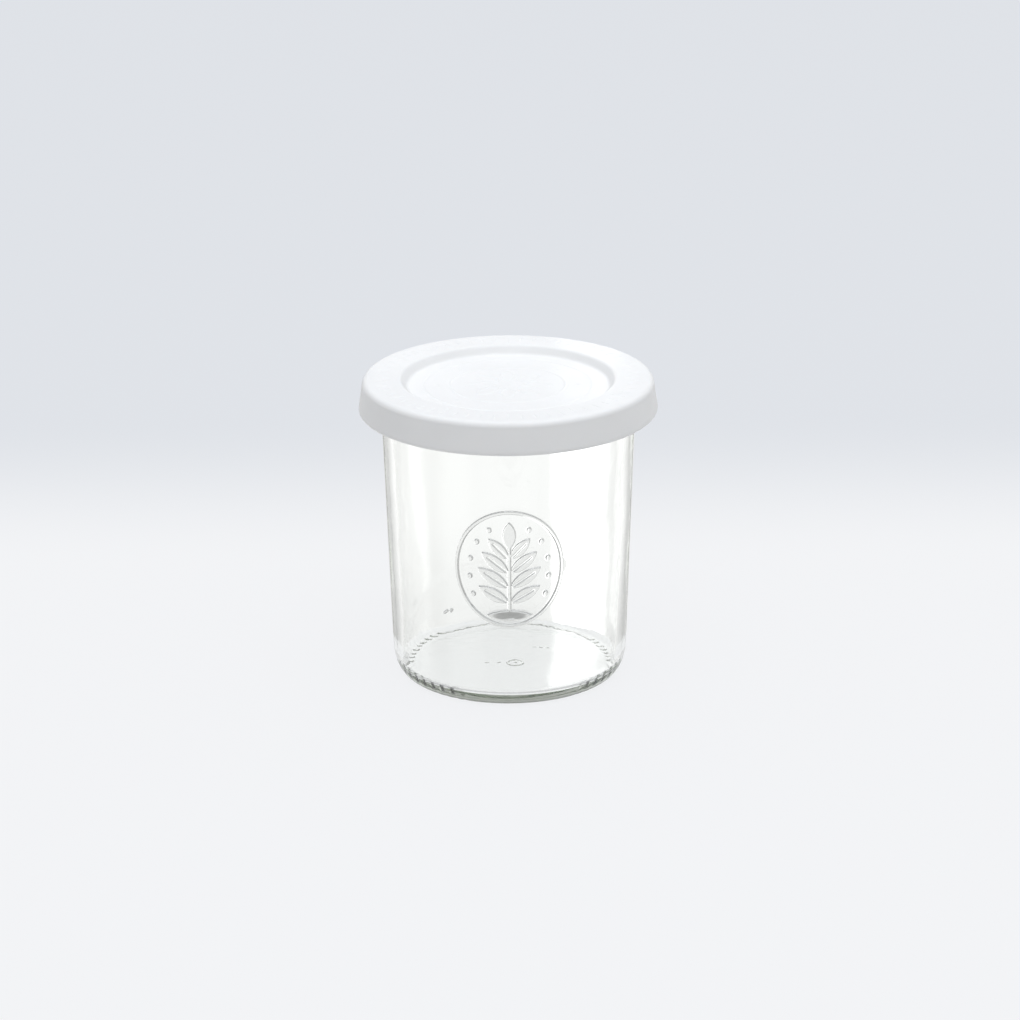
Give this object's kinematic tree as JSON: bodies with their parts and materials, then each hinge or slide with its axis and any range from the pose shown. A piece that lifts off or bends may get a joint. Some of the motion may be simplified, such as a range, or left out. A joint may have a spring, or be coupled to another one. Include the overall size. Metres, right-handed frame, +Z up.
{
  "type": "canning jar",
  "caption": "Small straight-sided clear glass canning jar, empty, closed by a shallow white push-on plastic lid with a sunk round centre.",
  "frame": {"origin": "centre of the foot ring, on the surface the jar stands on", "axes": "+Z up along the jar's axis, -Y towards the side with the raised ornament"},
  "size_m": [0.07, 0.07, 0.0722],
  "materials": {
    "clear_glass": "clear soda-lime glass, faintly green where thick",
    "white_plastic": "satin moulded polyethylene"
  },
  "bodies": {
    "root": {"glass_jar": "clear_glass", "snap_lid": "white_plastic"}
  },
  "joints": []
}
